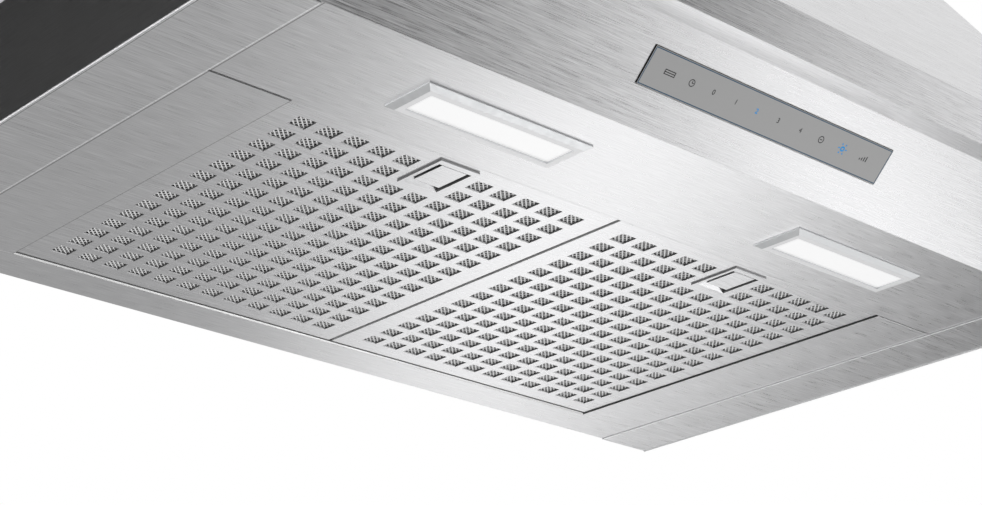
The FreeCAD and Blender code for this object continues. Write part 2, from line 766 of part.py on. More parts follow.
# Blower housing halves, split at the middle, each with its inlet bell and half of the top flange
def blower_half(name, side):
    body = new_piece("blower_housing_" + name, 0, blower_y, blower_height)
    top = plate_bottom - blower_height
    pad(body, "YZ", *span(side, 0, blower_half_width), scroll_outline(blower_wall, top))
    x0, x1 = span(side, 0, blower_half_width + blower_flange)
    flange_y0 = -blower_wall - blower_flange
    flange_y1 = scroll_reach + blower_wall + blower_flange
    pad(body, "XY", top - blower_wall, top, rectangle(x0, flange_y0, x1, flange_y1))
    hollow = scroll_outline(as_size(0), top + blower_wall)
    cut(body, "YZ", *span(side, 0, blower_half_width - blower_wall), hollow)
    eye = span(side, blower_half_width - blower_wall, blower_half_width)
    cut(body, "YZ", *eye, circle(0, 0, bell_rim))
    outside = blower_half_width * side
    inside = (blower_half_width - blower_wall) * side
    lip = (blower_half_width - bell_depth) * side
    revolve(body, "XZ", "X", polygon(
        (outside, bell_rim), (outside, bell_rim + blower_wall), (inside, bell_rim + blower_wall),
        (lip, inlet_radius + blower_wall), (lip, inlet_radius)))


# Impeller: middle disc, end rings and forward-curved blades round the axis X
def impeller():
    body = new_piece("impeller", 0, blower_y, blower_height)
    inner = impeller_radius - blade_depth
    disc = blade_gauge * 2
    heel = inner + blade_gauge
    pad(body, "YZ", -disc / 2, disc / 2, circle(0, 0, heel + blade_gauge), circle(0, 0, shaft_radius))
    pad(body, "YZ", -hub_length, disc / 2, circle(0, 0, hub_radius), circle(0, 0, shaft_radius))
    for name, side in SIDES:
        ends = span(side, impeller_half_width - disc, impeller_half_width)
        pad(body, "YZ", *ends, circle(0, 0, impeller_radius), circle(0, 0, inner))
    tip = impeller_radius - blade_gauge * 2
    fold = (heel + tip) / 2
    fold_y = blade_sweep / 2 - blade_bow
    blade = pad(body, "YZ", -impeller_half_width + disc, impeller_half_width - disc, polygon(
        (heel, 0), (fold, fold_y), (tip, blade_sweep), (tip - blade_gauge, blade_sweep),
        (fold - blade_gauge / 2, fold_y + blade_gauge), (heel - blade_gauge, 0)))
    ring_of(body, blade, "X", blade_count)

    shaft = new_piece("motor_shaft", 0, blower_y, blower_height)
    pad(shaft, "YZ", -motor_nose - shaft_radius, disc / 2 + shaft_radius, circle(0, 0, shaft_radius))


def regular(sides, radius):
    """A regular polygon round the origin, by its corner radius."""
    turns = [2 * math.pi * (corner + 0.5) / sides for corner in range(sides)]
    return polygon(*[(radius * math.cos(turn), radius * math.sin(turn)) for turn in turns])


# Motor inside the left half of the impeller: a stack of octagonal sheets with a round bearing boss,
# on a three-armed bracket
def motor():
    back = -blower_half_width
    nose = -motor_nose + clearance * 2
    shoulder = nose - motor_boss_length
    body = new_piece("motor", 0, blower_y, blower_height)
    pad(body, "YZ", back, shoulder, regular(8, motor_radius))
    pad(body, "YZ", shoulder, nose, circle(0, 0, motor_boss))
    cut(body, "YZ", shoulder, nose, circle(0, 0, shaft_radius + clearance))
    bracket = new_piece("motor_bracket", 0, blower_y, blower_height)
    pad(bracket, "YZ", back - bracket_gauge, back, regular(6, bracket_hub))
    arm = pad(bracket, "YZ", back - bracket_gauge, back, rectangle(
        0, -bracket_arm / 2, bell_rim + bracket_seat, bracket_arm / 2))
    ring_of(bracket, arm, "X", 3)


# Outlet collar and its two flaps, each with its pin; the duct slides over the collar
def outlet():
    collar = new_piece("outlet_collar", 0, duct_y, plate_top)
    inner = collar_radius - steel
    flange = collar_radius + collar_flange
    pad(collar, "XY", 0, collar_height, circle(0, 0, collar_radius), circle(0, 0, inner))
    pad(collar, "XY", 0, steel, rectangle(-flange, -flange, flange, flange), circle(0, 0, inner))
    reach = inner - flap_clearance
    pin_half = leg(inner, pin_offset + pin_radius) - clearance
    chord = leg(reach, pin_offset)
    for name, side in (("front", -1), ("rear", 1)):
        pin_y = pin_offset * side
        flap = new_piece("damper_flap_" + name, 0, duct_y, plate_top)
        pad(flap, "XY", flap_level - flap_gauge / 2, flap_level + flap_gauge / 2, polygon(
            (-chord, pin_y), (chord, pin_y), (0, reach * side),
            arcs={1: (reach, side), 2: (reach, side)}))
        pad(flap, "YZ", -pin_half, pin_half, circle(pin_y, flap_level, pin_radius))


# Flue cover: two U-shaped sleeves, open to the wall
def sleeve(half, depth):
    return polygon((-half, 0), (-half, -depth), (half, -depth), (half, 0), (half - steel, 0),
                   (half - steel, -depth + steel), (-half + steel, -depth + steel), (-half + steel, 0))


def flue():
    lower = new_piece("lower_flue")
    lower_top = canopy_top + lower_flue_height
    pad(lower, "XY", canopy_top, lower_top, sleeve(flue_width / 2, flue_depth))
    upper = new_piece("upper_flue")
    inset = steel + flue_clearance
    half = flue_width / 2 - inset
    upper_top = lower_top + upper_flue_step
    pad(upper, "XY", upper_top - upper_flue_height, upper_top, sleeve(half, flue_depth - inset))
    first_slot = upper_top - vent_drop
    slot_y = -flue_depth / 2
    slot = cut(upper, "YZ", -half - steel, half + steel, rectangle(
        slot_y - vent_length / 2, first_slot, slot_y + vent_length / 2, first_slot + vent_height))
    vents = row_of(upper, "Z", vent_pitch, vent_count)
    vents.Originals = [slot]
    upper.Tip = vents

    # The wall bracket sits in the top of the upper sleeve, between its sides
    bracket = new_piece("flue_bracket")
    bracket_top = upper_top - steel * 2
    outer = half - steel
    inner = outer - steel
    pad(bracket, "XY", bracket_top - bracket_height, bracket_top, polygon(
        (-outer, 0), (outer, 0), (outer, -ear_depth), (inner, -ear_depth),
        (inner, -steel), (-inner, -steel), (-inner, -ear_depth), (-outer, -ear_depth)))
    hole_z = bracket_top - bracket_height / 2
    cut(bracket, "XZ", -steel * 2, steel, *[
        circle(bracket_hole_span / 2 * hand, hole_z, bracket_hole_diameter / 2) for hand in (-1, 1)])


# Power box on the back panel with its cover and board, and the gland for the supply
def power_box():
    x0, x1 = power_box_offset - power_box_width / 2, power_box_offset + power_box_width / 2
    z0, z1 = power_box_level, power_box_level + power_box_height
    y0, y1 = -steel - power_box_depth, -steel
    box = new_piece("power_box")
    pad(box, "XZ", y0, y1, rectangle(x0, z0, x1, z1))
    cut(box, "XZ", y0, y1 - box_wall, rectangle(
        x0 + box_wall, z0 + box_wall, x1 - box_wall, z1 - box_wall))
    cover = new_piece("power_box_cover")
    pad(cover, "XZ", y0 - box_wall, y0, rectangle(x0, z0, x1, z1))
    pad(cover, "XZ", y0 - box_wall - cover_lift, y0 - box_wall, rectangle(
        x0 + cover_inset, z0 + cover_inset, x1 - cover_inset, z1 - cover_inset))
    board = new_piece("power_board")
    pad(board, "XZ", y1 - box_wall - board_thickness, y1 - box_wall, rectangle(
        x0 + box_wall * 2, z0 + box_wall * 2, x1 - box_wall * 2, z1 - box_wall * 2))

    gland = new_piece("cable_gland", gland_offset, -gland_setback, plate_top)
    bore = circle(0, 0, gland_bore)
    neck = circle(0, 0, gland_radius - box_wall * 2)
    pad(gland, "XY", -steel, 0, neck, bore)
    pad(gland, "XY", 0, gland_length, regular(6, gland_radius), bore)
    pad(gland, "XY", -gland_length / 2, -steel, regular(6, gland_radius), bore)


for hand_name, hand_side in SIDES:
    side_panel(hand_name, hand_side)
    filler_panel(hand_name, hand_side)
    grease_filter(hand_name, hand_side)
    light(hand_name, hand_side)
    blower_half(hand_name, hand_side)
front_panel()
rear_rail()
back_panel()
canopy_sheets()
top_plate()
touch_panel()
impeller()
motor()
outlet()
flue()
power_box()

doc.recompute()

# Nothing is written unless every object is sound
for item in doc.Objects:
    if "Invalid" in item.State or "Error" in item.State:
        raise RuntimeError("%s did not build: %s" % (item.Label, item.State))
for piece in pieces:
    if piece.Shape.isNull() or not piece.Shape.isValid():
        raise RuntimeError(piece.Label + " has no valid shape")

os.makedirs("parts", exist_ok=True)
for piece in pieces:
    piece.Shape.exportStep("parts/%s.step" % piece.Label)
    print("%-24s %d solid(s), %.0f mm3" % (piece.Label, len(piece.Shape.Solids), piece.Shape.Volume))
print(len(pieces), "pieces")
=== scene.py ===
# %% [markdown]
# # Wall mount range hood, seen from below
#
# The hood's solids come from a CAD model, with every sheet, filter and blower part as a node of its own.
# This notebook dresses them: a studio, brushed steel and the other finishes, and the small pieces that a
# CAD model leaves out, such as the wire mesh, the screws and the signs on the glass.
#
# The frame is the wall: X to the right, Y into the wall, Z up, with the origin between the wall screws.
# All lengths are in metres.

# %% Load the solids
import json
import math
from collections import namedtuple

import bpy
from mathutils import Matrix, Vector


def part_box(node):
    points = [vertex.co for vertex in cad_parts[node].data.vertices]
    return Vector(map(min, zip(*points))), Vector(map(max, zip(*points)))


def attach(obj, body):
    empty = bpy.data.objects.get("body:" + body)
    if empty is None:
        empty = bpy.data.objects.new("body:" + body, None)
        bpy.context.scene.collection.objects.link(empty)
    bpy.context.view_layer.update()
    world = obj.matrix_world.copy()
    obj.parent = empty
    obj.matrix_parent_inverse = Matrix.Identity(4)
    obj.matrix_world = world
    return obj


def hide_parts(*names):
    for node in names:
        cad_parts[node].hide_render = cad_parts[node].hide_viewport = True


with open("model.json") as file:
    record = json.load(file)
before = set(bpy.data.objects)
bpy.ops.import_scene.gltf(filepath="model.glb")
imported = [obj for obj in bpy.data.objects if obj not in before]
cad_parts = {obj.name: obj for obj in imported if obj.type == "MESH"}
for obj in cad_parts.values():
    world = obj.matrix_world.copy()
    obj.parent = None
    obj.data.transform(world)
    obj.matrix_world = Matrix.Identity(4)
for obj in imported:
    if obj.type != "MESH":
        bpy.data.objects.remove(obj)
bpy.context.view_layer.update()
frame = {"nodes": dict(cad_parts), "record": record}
nodes = frame["nodes"]
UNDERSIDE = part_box("front_panel")[0].z
print(len(nodes), "solids, underside at", round(UNDERSIDE, 4))

# %% [markdown]
# ## Camera
#
# The picture looks up from the front left, close to the hood. The regular grid of square filter holes
# fixes the view: a camera fitted to their corners gives its place, its three axes and its focal length.
# Writing the axes as a matrix is safer here than aiming at a target, because the roll is kept as well.

# %% Set the camera
CAMERA_PLACE = Vector((-0.9216, -1.2234, -0.7712))
CAMERA_RIGHT = Vector((0.7397, -0.6729, -0.0091))
CAMERA_UP = Vector((-0.2486, -0.2858, 0.9255))
CAMERA_FORWARD = Vector((0.6254, 0.6823, 0.3787))

camera_data = bpy.data.cameras.new("camera")
camera_data.sensor_width = 36.0
camera_data.lens = 77.88
camera = bpy.data.objects.new("camera", camera_data)
bpy.context.scene.collection.objects.link(camera)
camera_turn = Matrix((CAMERA_RIGHT, CAMERA_UP, -CAMERA_FORWARD)).transposed().to_4x4()
camera.matrix_world = Matrix.Translation(CAMERA_PLACE) @ camera_turn
bpy.context.scene.camera = camera
bpy.context.scene.view_settings.view_transform = "Standard"
print("camera at", [round(value, 3) for value in CAMERA_PLACE])

# %% [markdown]
# ## A small language for shaders
#
# A finish is mostly arithmetic on patterns. Linking Math nodes by hand hides that arithmetic, so one class
# wraps a socket and turns Python's own operators into nodes. The reflected forms, such as the one behind
# 1 - mask, let plain numbers stand on the left as well.

# %% Wrap a socket
class Signal:
    """One output socket, with the arithmetic that a pattern needs."""

    def __init__(self, maker, socket):
        self.maker = maker
        self.socket = socket

    def maths(self, operation, *values):
        return self.maker.node("ShaderNodeMath", {"operation": operation}, dict(enumerate(values)))

    def __add__(self, other):
        return self.maths("ADD", self, other)

    def __sub__(self, other):
        return self.maths("SUBTRACT", self, other)

    def __rsub__(self, other):
        return self.maths("SUBTRACT", other, self)

    def __mul__(self, other):
        return self.maths("MULTIPLY", self, other)

    def __truediv__(self, other):
        return self.maths("DIVIDE", self, other)

    def __gt__(self, other):
        return self.maths("GREATER_THAN", self, other)

    def __lt__(self, other):
        return self.maths("LESS_THAN", self, other)

    __radd__ = __add__
    __rmul__ = __mul__

    def size(self):
        return self.maths("ABSOLUTE", self)

    def inside(self, low, high):
        """1 between two limits, 0 outside them."""
        return (self > low) * (self < high)

    def least(self, other):
        return self.maths("MINIMUM", self, other)

    def most(self, other):
        return self.maths("MAXIMUM", self, other)


print("operators:", [name for name in vars(Signal) if name in ("__add__", "__rsub__", "__mul__", "__gt__")])

# %% [markdown]
# Every other node comes from one method that takes its type, its settings and its sockets. The same class
# serves the world and the materials.

# %% Fill a node tree
class NodeMaker:
    """A node tree, emptied and then filled through one method."""

    def __init__(self, tree):
        self.tree = tree
        tree.nodes.clear()

    def add(self, kind, settings, sockets):
        made = self.tree.nodes.new(kind)
        for key, value in settings.items():
            setattr(made, key, value)
        for key, value in sockets.items():
            self.feed(made.inputs[key], value)
        return made

    def node(self, kind, settings=None, sockets=None, output=0):
        made = self.add(kind, settings or {}, sockets or {})
        return Signal(self, made.outputs[output])

    def feed(self, socket, value):
        if isinstance(value, Signal):
            self.tree.links.new(value.socket, socket)
        else:
            socket.default_value = value


print("node maker ready")

# %% [markdown]
# A finish is a node tree with one Principled shader. Its patterns read Object coordinates, which are the
# hood's own metres, so a streak of a millimetre is a millimetre on every piece. The way a face looks is
# turned into the piece's own frame, so that a pattern stays on its face when a filter swings open.

# %% Build a material
class Finish(NodeMaker):
    """A material under construction: one Principled shader and the patterns that feed it."""

    def __init__(self, name, constants):
        self.material = bpy.data.materials.new(name)
        self.material.use_nodes = True
        super().__init__(self.material.node_tree)
        self.shader = self.add("ShaderNodeBsdfPrincipled", {}, {})
        self.add("ShaderNodeOutputMaterial", {}, {0: Signal(self, self.shader.outputs[0])})
        for socket, value in constants.items():
            self.set(socket, value)

    def set(self, socket, value):
        self.feed(self.shader.inputs[socket], value)

    def place(self):
        return self.node("ShaderNodeTexCoord", output="Object")

    def facing_way(self):
        settings = {"vector_type": "NORMAL", "convert_from": "WORLD", "convert_to": "OBJECT"}
        normal = self.node("ShaderNodeNewGeometry", output="Normal")
        return self.node("ShaderNodeVectorTransform", settings, {0: normal})

    def axis(self, vector, index):
        return self.node("ShaderNodeSeparateXYZ", {}, {0: vector}, output=index)

    def scaled(self, vector, x, y, z):
        return self.node("ShaderNodeVectorMath", {"operation": "MULTIPLY"}, {0: vector, 1: (x, y, z)})

    def noise(self, vector, detail=2.0, roughness=0.5, scale=1.0):
        sockets = {"Vector": vector, "Scale": scale, "Detail": detail, "Roughness": roughness}
        return self.node("ShaderNodeTexNoise", {}, sockets)

    def mix_vectors(self, share, first, second):
        sockets = {0: share, 4: first, 5: second}
        return self.node("ShaderNodeMix", {"data_type": "VECTOR"}, sockets, output=1)

    def mix_colours(self, share, first, second):
        sockets = {0: share, 6: self.colour(first), 7: self.colour(second)}
        return self.node("ShaderNodeMix", {"data_type": "RGBA"}, sockets, output=2)

    def colour(self, value):
        return value if isinstance(value, Signal) else (*value, 1.0)

    def relief(self, height, strength, distance, edge=0.0, lean=None):
        """A bump on edges rounded by a radius, over an optional larger lean of the whole face."""
        sockets = {"Height": height, "Strength": strength, "Distance": distance}
        if edge:
            sockets["Normal"] = self.node("ShaderNodeBevel", {"samples": 4}, {"Radius": edge})
        if lean:
            leaning = {"Height": lean, "Strength": 1.0, "Distance": 1.0, "Normal": sockets["Normal"]}
            sockets["Normal"] = self.node("ShaderNodeBump", {}, leaning)
        self.set("Normal", self.node("ShaderNodeBump", {}, sockets))


print("finish maker ready")

# %% [markdown]
# ## Studio
#
# Steel shows what is around it, so the studio is built for its reflections. The floor is plain and pale.
# Dark screens, which only reflections see, keep the left wall and the left end of the rim deep grey and
# close the bright band on the right. A flat plane is enough for each, because only its light counts.

# %% Lay the floor and hang the screens
FLOOR = -2.3
FLOOR_GREY, FLOOR_GLOW = 0.70, 0.45


def stage_plane(name, size, matrix, grey, glow=0.0):
    bpy.ops.object.select_all(action="DESELECT")
    bpy.ops.mesh.primitive_plane_add(size=1.0)
    plane = bpy.context.object
    plane.name = name
    plane.data.transform(matrix @ Matrix.Diagonal((*size, 1.0, 1.0)))
    finish = Finish(name + "_finish", {"Roughness": 0.9, "Specular IOR Level": 0.0, "Emission Strength": glow})
    clouds = finish.noise(finish.place(), scale=3.0)
    finish.set("Base Color", finish.mix_colours(clouds, [grey] * 3, [grey * 1.04] * 3))
    finish.set("Emission Color", finish.node("ShaderNodeLightPath", output="Is Camera Ray"))
    plane.data.materials.append(finish.material)
    return plane


def facing(place, target):
    """A matrix at a place whose own Z axis points at a target."""
    turn = (Vector(target) - Vector(place)).to_track_quat("Z", "Y")
    return Matrix.Translation(place) @ turn.to_matrix().to_4x4()


def lying(x, y, z, along):
    """A matrix for a flat piece that lies level, its length in a direction in degrees from the X axis."""
    turn = Matrix.Rotation(math.radians(along - 90.0), 4, "Z")
    return Matrix.Translation((x, y, z)) @ turn @ Matrix.Rotation(math.pi, 4, "Y")


floor = stage_plane("floor", (60.0, 60.0), Matrix.Translation((0.0, 0.0, FLOOR)), FLOOR_GREY, FLOOR_GLOW)
screens = [
    stage_plane("left_screen", (2.6, 2.6), facing((-1.5, 1.3, 1.0), (-0.38, -0.3, -0.2)), 0.03),
    stage_plane("right_screen", (2.4, 4.6), lying(4.05, 1.65, -1.7, 67.0), 0.03),
    stage_plane("front_screen", (1.3, 0.9), facing((0.2, -1.3, 0.5), (0.1, -0.5, -0.15)), 0.20),
    stage_plane("low_screen", (1.3, 1.8), Matrix.Translation((0.25, -1.6, -1.65)), 0.05),
]
for screen in screens:
    screen.visible_camera = False
    screen.visible_diffuse = False
    screen.visible_shadow = False
print("floor at", FLOOR, "and", len(screens), "screens")

# %% [markdown]
# Soft panels lie below the hood and shine up at it. The underside mirrors the ground behind the hood on the
# right, where a long slanting panel gives the bright band across the filters. Smaller ones are placed where the
# sloping control face, the rolled lips and the hem of the left side mirror them, and one lights the mesh. Each
# is given by the brightness that a mirror would show, because that is what the steel repeats. The panel overhead
# only lights what isn't a mirror, so reflections don't see it.

# %% Place the panels
def panel(name, matrix, width, length, radiance):
    light = bpy.data.lights.new(name, "AREA")
    light.shape = "RECTANGLE"
    light.size = width
    light.size_y = length
    light.energy = radiance * math.pi * width * length
    lamp = bpy.data.objects.new(name, light)
    bpy.context.scene.collection.objects.link(lamp)
    lamp.matrix_world = matrix
    lamp.visible_camera = False
    return lamp


overhead = Matrix.Translation((-0.6, -1.6, 3.2)) @ Matrix.Rotation(math.radians(-25.0), 4, "X")
panels = [
    panel("underside_panel", lying(2.10, 1.75, -1.6, 67.0), 0.80, 3.4, 1.66),
    panel("control_panel", lying(1.92, -1.5, -1.6, 90.0), 0.70, 1.6, 2.15),
    panel("frame_panel", lying(0.95, -0.62, -1.6, 0.0), 0.35, 0.70, 2.2),
    panel("hem_panel", lying(-2.4, 2.5, -1.75, 90.0), 2.2, 2.4, 2.6),
    panel("mesh_panel", lying(-0.4, -0.3, -1.5, 0.0), 0.8, 1.0, 1.5),
    panel("top_panel", overhead, 3.0, 3.0, 0.8),
]
panels[-1].visible_glossy = False
print(len(panels), "panels")

# %% [markdown]
# The background is white to the camera and to mirror and glass rays, and dimmer to diffuse light, so a white
# backdrop doesn't flood the object. The light path tells the kinds of ray apart.

# %% Light the background
SOFT_LIGHT = 0.6

world = bpy.data.worlds.new("studio")
bpy.context.scene.world = world
world.use_nodes = True
sky = NodeMaker(world.node_tree)
camera_ray, glossy_ray, glass_ray = (
    sky.node("ShaderNodeLightPath", output="Is %s Ray" % kind) for kind in ("Camera", "Glossy", "Transmission"))
white_ray = camera_ray.most(glossy_ray).most(glass_ray)
backdrop = sky.node("ShaderNodeBackground", {}, {
    "Color": (1.0, 1.0, 1.0, 1.0), "Strength": white_ray * (1.0 - SOFT_LIGHT) + SOFT_LIGHT})
sky.add("ShaderNodeOutputWorld", {}, {0: backdrop})
print("background white to the camera,", SOFT_LIGHT, "to diffuse light")

# %% [markdown]
# ## Brushed steel
#
# The sheets are stainless steel, brushed with an abrasive belt along the width of the hood. A belt leaves long
# parallel scratches: across them the surface is rough, along them it is smooth. Noise stretched along X gives
# those scratches, a fine set and a broad set. On sheets that face sideways the belt ran along Y, so the stretched
# axes change with the way the surface faces. Upright and sloping faces show the broad scratches more.

# %% Scratch the steel
X, Y, Z = 0, 1, 2
SIDEWAYS_LIMIT, FACING_LIMIT = 0.75, 0.9
FINE_SCRATCH, BROAD_SCRATCH = (40.0, 1500.0), (12.0, 520.0)


def stretched(finish, place, sideways, lengthways, crossways):
    """Coordinates for a noise that is long along the brushing and short across it."""
    along_x = finish.scaled(place, lengthways, crossways, crossways)
    along_y = finish.scaled(place, crossways, lengthways, crossways)
    return finish.mix_vectors(sideways, along_x, along_y)


def scratches(finish, place, facing_way, coarse):
    """The tone of the scratches round 0, and their height."""
    sideways = finish.axis(facing_way, X).size() > SIDEWAYS_LIMIT
    flat = finish.axis(facing_way, Z).size() > FACING_LIMIT
    upright = (1 - flat) * (1 - sideways) * coarse
    fine = finish.noise(stretched(finish, place, sideways, *FINE_SCRATCH), detail=3.0, roughness=0.6)
    broad = finish.noise(stretched(finish, place, sideways, *BROAD_SCRATCH))
    streak = (fine - 0.5) * (1.6 + upright * 0.8) + (broad - 0.5) * (0.15 + upright * 0.50)
    return streak * (1 - sideways * 0.6), fine * 0.7 + broad * 0.3


print("scratches", 1000.0 / FINE_SCRATCH[0], "and", round(1000.0 / BROAD_SCRATCH[0]), "mm long")

# %% [markdown]
# Where two sheets meet, a folded edge catches the light or a gap swallows it, in lines of less than a millimetre.
# Those lines are painted by place: a band changes the tone of flat faces, brighter for a painted highlight and
# darker for painted shade. Cut edges of the filters and the latch bezels are duller than the sheets, so a wall
# gives the faces that look one way a matte tone, which paints the shade or the light that falls on them. A rolled
# lip is a front edge whose faces get a painted highlight, and whose normals lean forward as if it curled down to
# the light.

# %% Paint shade and highlights at joints, cut edges and rolled lips
PaintedLightBand = namedtuple("PaintedLightBand", "axis low high gain")
PaintedLightWall = namedtuple("PaintedLightWall", "way axis low high grey")
PaintedHighlightLip = namedtuple("PaintedHighlightLip", "axis low high slope bright")


def looks_back(finish, facing_way, way):
    """1 on faces that look along the negative axis."""
    return finish.axis(facing_way, way) < -FACING_LIMIT


def with_painted_light_bands(finish, shade, place, facing_way, bands):
    flat = finish.axis(facing_way, Z).size() > FACING_LIMIT
    # A band with a gain above 1 is a painted highlight, one with a gain below 1 is painted shade.
    for band in bands:
        on_band = finish.axis(place, band.axis).inside(band.low, band.high) * flat
        shade = shade * (on_band * (band.gain - 1.0) + 1.0)
    return shade


def with_painted_light_walls(finish, shade, place, facing_way, walls):
    """The tone with the painted shade and light of the walls, and where the steel is matte."""
    matte = None
    for wall in walls:
        here = finish.axis(place, wall.axis).inside(wall.low, wall.high)
        on_wall = looks_back(finish, facing_way, wall.way) * here
        # A dark grey paints shade and a pale grey paints light on the faces that look the wall's way.
        shade = shade * (1 - on_wall) + on_wall * wall.grey
        matte = matte.most(on_wall) if matte else on_wall
    return shade, matte


def with_lip_highlight(finish, shade, place, facing_way, lip):
    """The tone with the lip's painted highlight, and the height whose slope leans the lip."""
    on_lip = looks_back(finish, facing_way, Y) * finish.axis(place, lip.axis).inside(lip.low, lip.high)
    # The lip's faces get a bright painted highlight; the slope of the height leans their normals.
    return shade * (1 - on_lip) + on_lip * lip.bright, on_lip * finish.axis(place, Z) * lip.slope


print("painters for bands, walls and lips")

# %% [markdown]
# One function now makes every steel. The scratches drive the tone, the roughness and a relief that blurs
# reflections across the brushing, and a faint cloud keeps large sheets from looking printed. Sheet edges are
# bent or deburred, so the shading rounds them a little.

# %% Make a brushed steel
STREAK_CONTRAST, CLOUD_CONTRAST, COOL_TINT = 0.50, 0.04, 1.012
STEEL_ROUGHNESS, ROUGHNESS_SPREAD = 0.315, 0.16


def brushed(name, tone, edge, coarse, bands=(), walls=(), lip=None):
    finish = Finish(name, {"Metallic": 1.0})
    place = finish.place()
    facing_way = finish.facing_way()
    streak, height = scratches(finish, place, facing_way, coarse)
    cloud = finish.noise(place, scale=6.0)
    shade = (streak * STREAK_CONTRAST + 1.0 + (cloud - 0.5) * CLOUD_CONTRAST) * tone
    shade = with_painted_light_bands(finish, shade, place, facing_way, bands)
    shade, matte = with_painted_light_walls(finish, shade, place, facing_way, walls)
    if matte:
        finish.set("Metallic", 1 - matte)
    lean = None
    if lip:
        shade, lean = with_lip_highlight(finish, shade, place, facing_way, lip)
    channels = {"Red": shade, "Green": shade, "Blue": shade * COOL_TINT}
    finish.set("Base Color", finish.node("ShaderNodeCombineColor", {}, channels))
    finish.set("Roughness", streak * ROUGHNESS_SPREAD + STEEL_ROUGHNESS)
    finish.relief(height, 0.07, 0.0005, edge, lean)
    return finish.material


SHEET_TONE, SHEET_EDGE = 0.66, 0.0009
flue_steel = brushed("flue_steel", SHEET_TONE, SHEET_EDGE, 0.1)
canopy_steel = brushed("canopy_steel", SHEET_TONE, SHEET_EDGE, 0.8)
print("steels:", flue_steel.name, canopy_steel.name)

# %% [markdown]
# The side sheets fold in under the hood and end in a strip. Its free edge gets a painted highlight, a dark
# hairline of painted shade runs beside it, and a second hairline of painted shade marks the hem at the outer fold.
# These bands lie on every sheet that they cross. The rear rail adds painted shade on the deeper part of its front
# wall, which is matte, and a painted highlight on the rolled lip at its lower edge.

# %% Make the steel of the sheets and the rail
HAIRLINE = 0.0007
PAINTED_SHADE_LINE, PAINTED_HIGHLIGHT_LINE = 0.45, 1.40

side_low, side_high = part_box("left_side_panel")
strip_edge = side_high.x
hem_edge = side_low.x + 0.0024
strip_gap = strip_edge + 0.0017
# Painted shade in the hem and beside the strips, painted highlights on the strips' free edges.
strip_painted_light = (
    PaintedLightBand(X, hem_edge, hem_edge + HAIRLINE, PAINTED_SHADE_LINE),
    PaintedLightBand(X, strip_edge - 0.0010, strip_edge, PAINTED_HIGHLIGHT_LINE),
    PaintedLightBand(X, strip_gap, strip_gap + HAIRLINE, PAINTED_SHADE_LINE),
    PaintedLightBand(X, -strip_edge, HAIRLINE - strip_edge, PAINTED_HIGHLIGHT_LINE),
)
steel = brushed("brushed_steel", SHEET_TONE, SHEET_EDGE, 1.0, strip_painted_light)

SMALL_EDGE = 0.0006
rail_fold = UNDERSIDE + 0.0015
# The deeper part of the rail's front wall gets painted shade, its lower edge a painted highlight.
rail_painted_shade = (PaintedLightWall(Y, Z, rail_fold, 0.0, 0.30),)
rail_lip_highlight = PaintedHighlightLip(Z, -1.0, rail_fold, 1.2, 1.0)
rail_steel = brushed("rail_steel", SHEET_TONE, SMALL_EDGE, 0.2, strip_painted_light, rail_painted_shade, rail_lip_highlight)
print(len(strip_painted_light), "bands; steels:", steel.name, rail_steel.name)

# %% [markdown]
# The filler panels close the space beside the filters. The left one shows dark hairlines of painted shade on two
# sides, the right one a painted highlight on its front edge and painted shade, near black, on its wall towards its
# filter. They are the same steel, so only the painted lines differ.

# %% Make the steel of the filler panels
SIDES = ("left", "right")
EVERYWHERE = (-1.0, 1.0)

filler_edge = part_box("left_filler_panel")[1].x
filler_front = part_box("left_filler_panel")[0].y
# Painted shade on the left filler's inner and front edges; on the right, a painted highlight on the front edge and
# near black painted shade on the wall towards the filter.
left_painted_light = (
    *strip_painted_light,
    PaintedLightBand(X, filler_edge - 0.0005, filler_edge, PAINTED_SHADE_LINE),
    PaintedLightBand(Y, filler_front, filler_front + 0.0008, 0.15),
)
right_painted_light = (*strip_painted_light, PaintedLightBand(Y, filler_front, filler_front + 0.0006, 1.35))
right_painted_shade = (PaintedLightWall(X, X, *EVERYWHERE, 0.06),)
filler_steel = {
    "left": brushed("left_filler_steel", SHEET_TONE, SMALL_EDGE, 0.2, left_painted_light),
    "right": brushed("right_filler_steel", SHEET_TONE, SMALL_EDGE, 0.2, right_painted_light, right_painted_shade),
}
print("steels:", [filler_steel[side].name for side in SIDES])

# %% [markdown]
# The filter faces are punched, and the walls of their holes and edges take no brushing. Their tones are painted
# light and
# shade: dark where they look left, pale where they look to the front, grey in the gap between the filters. The
# latch bezels have painted shade on their left walls and, grey, on their front edge, and a painted highlight on
# the rolled lip behind it. The latch pulls are plain.

# %% Make the steel of the filters and latches
FILTER_TONE, PUNCHED_EDGE = 0.68, 0.0002

# Painted shade on walls that look left, a grey tone in the gap between the filters, painted light on walls that
# look forward.
filter_painted_light = (
    PaintedLightWall(X, X, *EVERYWHERE, 0.08),
    PaintedLightWall(X, X, -0.002, 0.002, 0.50),
    PaintedLightWall(Y, Y, *EVERYWHERE, 0.95),
)
filter_steel = brushed("filter_steel", FILTER_TONE, PUNCHED_EDGE, 0.2, (), filter_painted_light)

bezel_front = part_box("left_latch_bezel")[0].y + 0.001
# Painted shade on the bezels' left walls and front edge, and a painted highlight on the lip behind it.
bezel_painted_shade = (PaintedLightWall(X, X, *EVERYWHERE, 0.15), PaintedLightWall(Y, Y, -1.0, bezel_front, 0.55))
bezel_lip_highlight = PaintedHighlightLip(Y, bezel_front, 1.0, 1.14, 0.80)
bezel_steel = brushed("bezel_steel", FILTER_TONE, PUNCHED_EDGE, 0.2, (), bezel_painted_shade, bezel_lip_highlight)
pull_steel = brushed("pull_steel", FILTER_TONE, PUNCHED_EDGE, 0.2)
print("steels:", filter_steel.name, bezel_steel.name, pull_steel.name)

